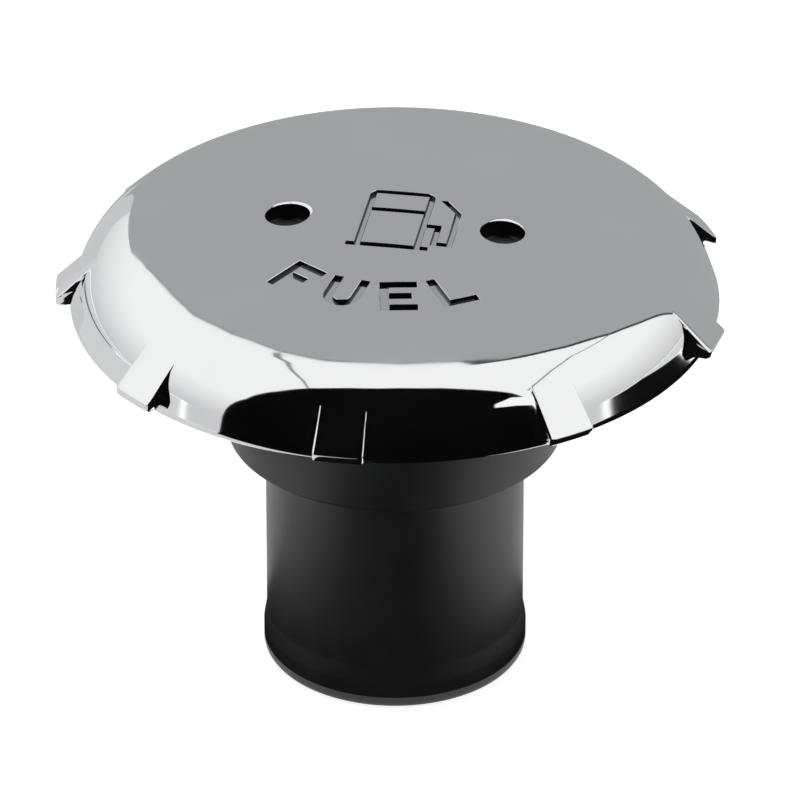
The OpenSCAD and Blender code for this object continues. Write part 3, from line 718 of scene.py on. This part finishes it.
def joined(name, parts):
    """One object out of several solids that don't touch."""
    bm = bmesh.new()
    material = parts[0].data.materials[0]
    for part in parts:
        bm.from_mesh(part.data)
        bpy.data.meshes.remove(part.data)
    bmesh.ops.scale(bm, vec=(1 / MM, 1 / MM, 1 / MM), verts=bm.verts)
    return solid(bm, name, material)


head_z, head_h, fixing_head_r, shank_r, shank_top = 1.68, 2.6, 3.6, 2, 12.3
washer_r, washer_low, washer_top = 4.5, 4.3, 5.08
screws, washers = [], []
for angle in fixing_angles:
    spot = on_circle(fixing_circle_r, angle)
    screw = revolve(filleted([(0, head_z, 0), (fixing_head_r, head_z, 1.1), (fixing_head_r, head_z + head_h,
                                                                             0.1),
                              (shank_r, head_z + head_h, 0.1), (shank_r, shank_top, 0.6), (0, shank_top, 0)]),
                    48, closed=False)
    screw = solid(moved(screw, **spot), "plug_screw", screw_steel)
    for turn in (0, 90):
        recess = slot_cutter(4, 0.8, head_z - 1, head_z + 1.2, turn + angle)
        combine(screw, [solid(moved(recess, **spot), "recess", screw_steel)], "DIFFERENCE")
    screws.append(screw)
    washer = revolve(filleted([(fixing_clear_r, washer_low, 0.1), (washer_r, washer_low, 0.15), (washer_r,
                                                                                                 washer_top,
                                                                                                 0.15),
                                                                                                 (
                                                                                                     fixing_clear_r, washer_top, 0.1)]), 48)
    washers.append(solid(moved(washer, **spot), "washer", sheet_steel))
finish_piece(joined("plug_screw_set", screws), "cap", ["plug_screws"])
finish_piece(joined("plug_washer_set", washers), "cap", ["plug_washers"])

pin_head_low, pin_head_h, pin_head_r = -4.4, 2.2, 4
pin_r, pin_top, pin_thread_r, pin_thread_top = 2.4, -0.52, 1.45, 4.8
pin = solid(revolve(filleted([
    (0, pin_head_low, 0), (pin_head_r, pin_head_low, 0.6), (pin_head_r, pin_head_low + pin_head_h, 0.2),
    (pin_r, pin_head_low + pin_head_h, 0.05), (pin_r, pin_top, 0.1), (pin_thread_r, pin_top, 0.1),
    (pin_thread_r, pin_thread_top, 0.4), (0, pin_thread_top, 0)]), 64, closed=False), "chain_screw_pin",
    screw_steel)
combine(pin, [solid(slot_cutter(9, 1, pin_head_low - 1, pin_head_low + 1), "pin_slot", screw_steel)],
        "DIFFERENCE")
finish_piece(pin, "cap", ["chain_screw"])


# ---- Cap shell ----------------------------------------------------------------------------------
# Zinc die casting, polished and chrome plated: a shallow crown, a round shoulder, a steep rim band and
# nine grip lobes whose upper faces run off the shoulder. Screw bosses and a seating ring stand inside.
chrome, tree, shader, place = surface("polished_chrome_plate", Metallic=1)
# buffing leaves patches of a slightly different gloss, some 14 mm across
buffing = add_node(tree, "ShaderNodeTexNoise", {"Vector": place}, Scale=1 / (14 * MM), Detail=4)
tone = add_node(tree, "ShaderNodeValToRGB", {"Fac": buffing.outputs["Fac"]})
tone.color_ramp.elements[0].color = linear("#f0f1f2")
tone.color_ramp.elements[1].color = linear("#f7f7f7")
gloss = add_node(tree, "ShaderNodeMapRange", {"Value": buffing.outputs["Fac"]}, From_Min=0.3, From_Max=0.7,
                 To_Min=0.03, To_Max=0.055)
# the polish on a casting keeps a soft ripple of 6 mm under a fine haze of 0.2 mm
ripple = add_node(tree, "ShaderNodeTexNoise", {"Vector": place}, Scale=1 / (6 * MM), Detail=1)
haze = add_node(tree, "ShaderNodeTexNoise", {"Vector": place}, Scale=1 / (0.2 * MM), Detail=2)
waves = add_node(tree, "ShaderNodeBump", {"Height": ripple.outputs["Fac"]}, Strength=0.12, Distance=0.05 * MM)
relief = add_node(tree, "ShaderNodeBump", {"Height": haze.outputs["Fac"], "Normal": waves.outputs["Normal"]},
                  Strength=0.05, Distance=0.004 * MM)
link_up(tree, shader, tone=tone, gloss=gloss, relief=relief)

# in the legend the plate is as bright, but the wheel doesn't reach it, so it keeps the die's skin
sunk_chrome, tree, shader, place = surface("unbuffed_chrome_plate", Metallic=1, Base_Color=linear("#e6e7e8"))
skin = add_node(tree, "ShaderNodeTexNoise", {"Vector": place}, Scale=1 / (1.5 * MM), Detail=3)
gloss = add_node(tree, "ShaderNodeMapRange", {"Value": skin.outputs["Fac"]}, To_Min=0.06, To_Max=0.14)
link_up(tree, shader, gloss=gloss)

# inside and in the holes the plate is thin and dull, and its dark colour is partly painted shade for the recesses
dull_plate_with_painted_shade, tree, shader, place = surface("unpolished_plate_with_painted_shade", Metallic=1,
                                             Base_Color=linear("#8b8d90"))
skin = add_node(tree, "ShaderNodeTexNoise", {"Vector": place}, Scale=1 / (0.5 * MM), Detail=4)
gloss = add_node(tree, "ShaderNodeMapRange", {"Value": skin.outputs["Fac"]}, To_Min=0.4, To_Max=0.55)
relief = add_node(tree, "ShaderNodeBump", {"Height": skin.outputs["Fac"]}, Strength=0.1, Distance=0.01 * MM)
link_up(tree, shader, gloss=gloss, relief=relief)

# deep in the key holes and on the legend's walls the plate is near black: painted shade
painted_shade_plate, tree, shader, place = surface("plate_darkened_as_painted_shade", Metallic=1, Base_Color=linear("#303132"))
wall_mottle = add_node(tree, "ShaderNodeTexNoise", {"Vector": place}, Scale=1 / (0.8 * MM), Detail=4)
gloss = add_node(tree, "ShaderNodeMapRange", {"Value": wall_mottle.outputs["Fac"]}, To_Min=0.25, To_Max=0.45)
link_up(tree, shader, gloss=gloss)

rim_r, rim_z, wall = 47.4, 1.5, 3
crease = Vector((46.2, 5.0))
shoulder_r, shoulder_start, shoulder_end = 10, math.radians(8.94), math.radians(70)


def slope_dir(angle):
    """The way out of the surface, in section, where it slopes down by this angle."""
    return Vector((math.sin(angle), math.cos(angle)))


shoulder_c = crease - shoulder_r * slope_dir(shoulder_end)
crown_r = shoulder_r + shoulder_c.x / math.sin(shoulder_start)
crown_c_z = shoulder_c.y - (crown_r - shoulder_r) * math.cos(shoulder_start)


def crown_height(r, inset=0):
    """Height of the crown at a radius, or of the surface that lies inset under it."""
    return crown_c_z + math.sqrt((crown_r - inset) ** 2 - r * r)


def between(low, high, count):
    """Evenly spaced values from low to just short of high."""
    return [low + (high - low) * k / count for k in range(count)]


lobe_count, lobe_r, lobe_low, lobe_slope = 9, 49.4, rim_z + 0.9, math.radians(43)
lobe_half_angle, lobe_edge, lobe_tip_edge = 4.27, 0.45, 0.35
ramp_top = shoulder_c + shoulder_r * slope_dir(lobe_slope)
lobe_tip = Vector((lobe_r, ramp_top.y - (lobe_r - ramp_top.x) * math.tan(lobe_slope)))
band_foot = crease.lerp(Vector((rim_r, rim_z)), (crease.y - lobe_low) / (crease.y - rim_z))

# the section between lobes, from the pole to the lower edge and back inside to the pole
crown = [Vector((r, crown_height(r))) for r in between(0,
                                                       shoulder_c.x + shoulder_r * math.sin(shoulder_start),
                                                       14)]
shoulder = [shoulder_c + shoulder_r * slope_dir(a) for a in between(shoulder_start, lobe_slope, 14)]
ramp_steps, tip_steps = 9, 10
flank = [shoulder_c + shoulder_r * slope_dir(a) for a in between(lobe_slope, shoulder_end, ramp_steps)]
band = [crease.lerp(band_foot, k / tip_steps) for k in range(tip_steps)]
inner_end = shoulder_c + (shoulder_r - wall) * slope_dir(shoulder_end)
inner = [shoulder_c + (shoulder_r - wall) * slope_dir(a) for a in between(shoulder_end, shoulder_start, 14)]
inner += [Vector((r, crown_height(r, wall))) for r in between(37.9, 0, 12)] + [Vector((0, crown_height(0,
                                                                                                       wall)))]
rim_outline = filleted([(*band_foot, 0), (rim_r, rim_z, 0.22), (rim_r - wall + 0.2, rim_z, 0.3), (*inner_end,
                                                                                                  0)])
plain_section = crown + shoulder + flank + band + rim_outline[:-1] + inner

# through a lobe, the same points leave the shoulder at the ramp's slope and turn under its tip
tip_outline = filleted([(*ramp_top, 0), (*lobe_tip, lobe_tip_edge), (lobe_r, lobe_low, 0.25), (*band_foot,
                                                                                               0)])
ramp = [ramp_top.lerp(tip_outline[1], k / ramp_steps) for k in range(ramp_steps)]
lobe_section = crown + shoulder + ramp + tip_outline[1:-1] + rim_outline[:-1] + inner

# angles of one lobe's edges from its middle, in degrees: close together where its edge is round
degrees_per_mm = math.degrees(1 / (rim_r + 1))
edge_steps = [lobe_half_angle - lobe_edge * degrees_per_mm * (1 - math.sin(math.radians(a))) for a in (0, 20,
                                                                                                       40, 60,
                                                                                                       90)]
spread = [0, 1.2, 2.3, 3.1] + edge_steps + [lobe_half_angle + 0.08, 4.7, 5.4, 6.6, 8.2, 10.2, 12.4, 14.8,
                                            17.4, 20]
columns = 2 * (len(spread) - 1)
crown_columns = lobe_count * columns
section_tree = KDTree(len(plain_section))
for i, p in enumerate(plain_section):
    section_tree.insert((p.x, 0, p.y), i)
section_tree.balance()

bm = revolve(plain_section, crown_columns, closed=False)
for v in bm.verts:
    radius = math.hypot(v.co.x, v.co.y)
    if radius < 1e-4:
        continue
    column = round((math.degrees(math.atan2(v.co.y, v.co.x)) + 90) * crown_columns / 360) % crown_columns
    lobe_number, step = divmod(column + columns // 2, columns)
    step -= columns // 2
    angle = math.copysign(spread[abs(step)], step)
    even_angle = step * 360 / crown_columns
    if radius < shoulder_c.x - 3:
        angle = even_angle
    elif radius < shoulder_c.x + 1:
        angle = (angle + even_angle) / 2
    here = section_tree.find((radius, 0, v.co.z))[1]
    low, high = plain_section[here], lobe_section[here]
    rise = (high - low).length
    inside = (lobe_half_angle - abs(angle)) / degrees_per_mm
    at = low
    if rise > 1e-4 and inside > -1e-4:
        drop = lobe_edge - math.sqrt(max(0, lobe_edge ** 2 - max(0, lobe_edge - inside) ** 2))
        at = low.lerp(high, max(0, 1 - drop / rise))
    turn = math.radians(270 + 360 / lobe_count * lobe_number + angle)
    v.co = (at.x * math.cos(turn), at.x * math.sin(turn), at.y)
bmesh.ops.remove_doubles(bm, verts=bm.verts, dist=1e-3)

# the crown needs few faces, so that the legend cuts it cleanly
spokes = []
for e in bm.edges:
    radii = sorted(math.hypot(v.co.x, v.co.y) for v in e.verts)
    if radii[1] < 33.5 and radii[1] - radii[0] > 1:
        turn = max(e.verts, key=lambda v: math.hypot(v.co.x, v.co.y)).co
        column = round((math.degrees(math.atan2(turn.y, turn.x)) + 90) * crown_columns / 360)
        if column % 9:
            spokes.append(e)
bmesh.ops.dissolve_edges(bm, edges=spokes, use_verts=True, use_face_split=False)
bmesh.ops.recalc_face_normals(bm, faces=bm.faces)
shell = solid(bm, "cap_shell_casting", chrome)

# bosses for the plug's screws and under the key holes, and the ring on which the plug seats
key_x, key_r, key_depth, rib = 15.8, 3.3, 2.8, (24, 25.5)
# they take the dull plate, whose dark colour is partly painted shade
inside = []
for angle in fixing_angles:
    boss = revolve(filleted([(0, head_top, 0), (4.2, head_top, 0.2), (4.2, 12.8, 0), (0, 12.8, 0)]), 48,
                   closed=False)
    inside.append(solid(moved(boss, **on_circle(fixing_circle_r, angle)), "fixing_boss", dull_plate_with_painted_shade))
for x in (-key_x, key_x):
    boss = revolve(filleted([(0, 9, 0), (5.2, 9, 0.4), (5.2, 12.5, 0), (0, 12.5, 0)]), 48, closed=False)
    inside.append(solid(moved(boss, x=x), "key_boss", dull_plate_with_painted_shade))
inside.append(solid(revolve(filleted([(rib[0], head_top, 0.2), (rib[1], head_top, 0.2), (rib[1], 12, 0),
                                      (rib[0], 12, 0)])),
                    "seating_ring", dull_plate_with_painted_shade))
combine(shell, inside, "UNION")


# ---- Legend -------------------------------------------------------------------------------------
# The generic word and a plain fuel pump pictogram, sunk 0.6 mm into the crown by the die and plated
# over. The strokes have a little draft, and their walls take the key holes' near-black plate, which is painted shade.
stroke_levels = ((-0.6, -0.05), (-0.06, 0), (0.3, 0.36))


def grown(points, by):
    """An outline, listed anticlockwise, with every side moved outwards."""
    moved_points = []
    for i, here in enumerate(points):
        before = (here - points[i - 1]).normalized()
        after = (points[(i + 1) % len(points)] - here).normalized()
        out = Vector((before.y + after.y, -before.x - after.x)) / (1 + before.dot(after))
        moved_points.append(here + out * by)
    return moved_points


def sunk_shape(points, islands=()):
    """A cutter for one engraved outline, with islands left standing in it. Heights count from the surface."""
    bm = bmesh.new()
    for outline, side in ((points, 1), *((island, -1) for island in islands)):
        outline = [Vector(p) for p in outline]
        rings = [[bm.verts.new((*p, z)) for p in grown(outline, by * side)] for z, by in stroke_levels]
        loops = [[bm.edges.new(pair) for pair in zip(ring, ring[1:] + ring[:1])] for ring in rings]
        for low, high in zip(loops, loops[1:]):
            bmesh.ops.bridge_loops(bm, edges=low + high)
    for z in (stroke_levels[0][0], stroke_levels[-1][0]):
        level = [e for e in bm.edges if all(abs(v.co.z - z) < 1e-4 for v in e.verts)]
        bmesh.ops.triangle_fill(bm, edges=level, use_beauty=True, normal=UP)
    bmesh.ops.recalc_face_normals(bm, faces=bm.faces)
    return bm


letter_h, letter_w, line_w, legend_r, letter_step = 7, 5.4, 1.35, 20.8, 22
left, right, foot, top = -letter_w / 2, letter_w / 2, -letter_h / 2, letter_h / 2
middle_low, middle_high = -line_w / 2, line_w / 2
f_arm, e_arm = left + 0.8 * letter_w, left + 0.85 * letter_w
bend = Vector((0, foot + right))


def arc(centre, radius, start, end, steps=14):
    """Points of an arc, between two angles in degrees."""
    angles = [math.radians(start + (end - start) * k / steps) for k in range(steps + 1)]
    return [(centre.x + radius * math.cos(a), centre.y + radius * math.sin(a)) for a in angles]


letters = {
    "F": [(left, foot), (left + line_w, foot), (left + line_w, middle_low), (f_arm, middle_low), (f_arm,
                                                                                                  middle_high),
          (left + line_w, middle_high), (left + line_w, top - line_w), (right, top - line_w), (right, top),
          (left, top)],
    "U": [*arc(bend, right, 180, 360), (right, top), (right - line_w, top),
          *arc(bend, right - line_w, 360, 180), (left + line_w, top), (left, top)],
    "E": [(left, foot), (right, foot), (right, foot + line_w), (left + line_w, foot + line_w),
          (left + line_w, middle_low), (e_arm, middle_low), (e_arm, middle_high), (left + line_w,
                                                                                   middle_high),
          (left + line_w, top - line_w), (right, top - line_w), (right, top), (left, top)],
    "L": [(left, foot), (right, foot), (right, foot + line_w), (left + line_w, foot + line_w), (left + line_w,
                                                                                                top),
          (left, top)],
}
cutters = []
for i, letter in enumerate("FUEL"):
    shape = moved(sunk_shape(letters[letter]), y=-legend_r)
    bmesh.ops.rotate(shape, verts=shape.verts, cent=(0, 0, 0),
                     matrix=Matrix.Rotation(math.radians((i - 1.5) * letter_step), 3, "Z"))
    cutters.append(shape)

# the pump: a housing with a window, on a plinth, and a hose that ends in a nozzle
line, left, base = 0.9, -4.8, -8.0
right, plinth_top, roof = left + 9.6, base + line, base + 16.5
sill, corner = base + 10.2, 1.3
hose_in, hose_out = right + 2.2, right + 4.5
cutters.append(sunk_shape(
    [(left - 1.2, base), (right + 1.2, base), (right + 1.2, plinth_top), (right, plinth_top), (right, -1.6),
     (hose_in - line, -1.6), (hose_in - line, -6.4), (hose_out, -6.4), (hose_out, 3.4), (hose_out - 2.5, 6.8),
     (hose_out - 3.5, 6.8), (hose_out - line, 3.4), (hose_out - line, -5.5), (hose_in, -5.5), (hose_in, -0.7),
     (right, -0.7), *arc(Vector((right - corner, roof - corner)), corner, 0, 90, 5),
     *arc(Vector((left + corner, roof - corner)), corner, 90, 180, 5), (left, plinth_top), (left - 1.2,
                                                                                            plinth_top)],
    [[(left + line, plinth_top), (right - line, plinth_top), (right - line, sill), (left + line, sill)],
     [(left + line, sill + line), (right - line, sill + line), (right - line, roof - line),
      (left + line, roof - line)]]))
for shape in cutters:
    for v in shape.verts:
        v.co.z += crown_height(math.hypot(v.co.x, v.co.y))
legend = joined("legend", [solid(shape, "legend_stroke", sunk_chrome) for shape in cutters])
# the legend's walls take the near-black plate, which is painted shade, and its floors the unbuffed plate
legend.data.materials.append(painted_shade_plate)
for face in legend.data.polygons:
    face.material_index = int(abs(face.normal.z) < 0.5)
combine(shell, [legend], "DIFFERENCE")

# the key holes: a broad bright countersink, a near-black wall and a dull floor, both darkened as painted
# shade, and the blind holes for the plug's screws
key_mouth, key_sink = crown_height(key_x), 0.2
for x in (-key_x, key_x):
    drill = solid(moved(revolve([(0, -key_depth), (key_r - 0.3, -key_depth), (key_r, 0.3 - key_depth), (key_r,
                                                                                                        0.5),
                                 (0, 0.5)], 96, closed=False), x=x, z=key_mouth), "key_hole", painted_shade_plate)
    # the floor takes the dull plate, partly painted shade, and the wall the near-black plate, painted shade
    drill.data.materials.append(dull_plate_with_painted_shade)
    for face in drill.data.polygons:
        face.material_index = int(face.center.z / MM < key_mouth - key_depth + 0.05)
    countersink = revolve([(0, -key_sink), (key_r - 0.05, -key_sink), (key_r + 1.5, 0.5 - key_sink), (0,
                                                                                                      0.5 - key_sink)],
                          96, closed=False)
    countersink = moved(countersink, x=x, z=key_mouth, turn=Matrix.Rotation(math.asin(x / crown_r), 3, "Y"))
    combine(shell, [drill, solid(countersink, "key_countersink", chrome)], "DIFFERENCE")
for angle in fixing_angles:
    drill = plain_rod(fixing_hole_r, 8, 12.5, 32)
    drill = moved(drill, **on_circle(fixing_circle_r, angle))
    combine(shell, [solid(drill, "fixing_hole", dull_plate_with_painted_shade)], "DIFFERENCE")
finish_piece(shell, "cap", ["cap_shell"])

# the crown and the legend's floors take the true normals of their spheres, so that they mirror without
# ripples
crown_centre = Vector((0, 0, crown_c_z)) * MM
normals = [corner.vector.copy() for corner in shell.data.corner_normals]
for face in shell.data.polygons:
    out = face.center - crown_centre
    depth = crown_r * MM - out.length
    on_crown = -0.1 * MM < depth < 0.95 * MM and face.normal.dot(out.normalized()) > 0.97
    if on_crown and math.hypot(face.center.x, face.center.y) < 36 * MM:
        for loop in face.loop_indices:
            co = shell.data.vertices[shell.data.loops[loop].vertex_index].co
            normals[loop] = (co - crown_centre).normalized()
shell.data.normals_split_custom_set(normals)
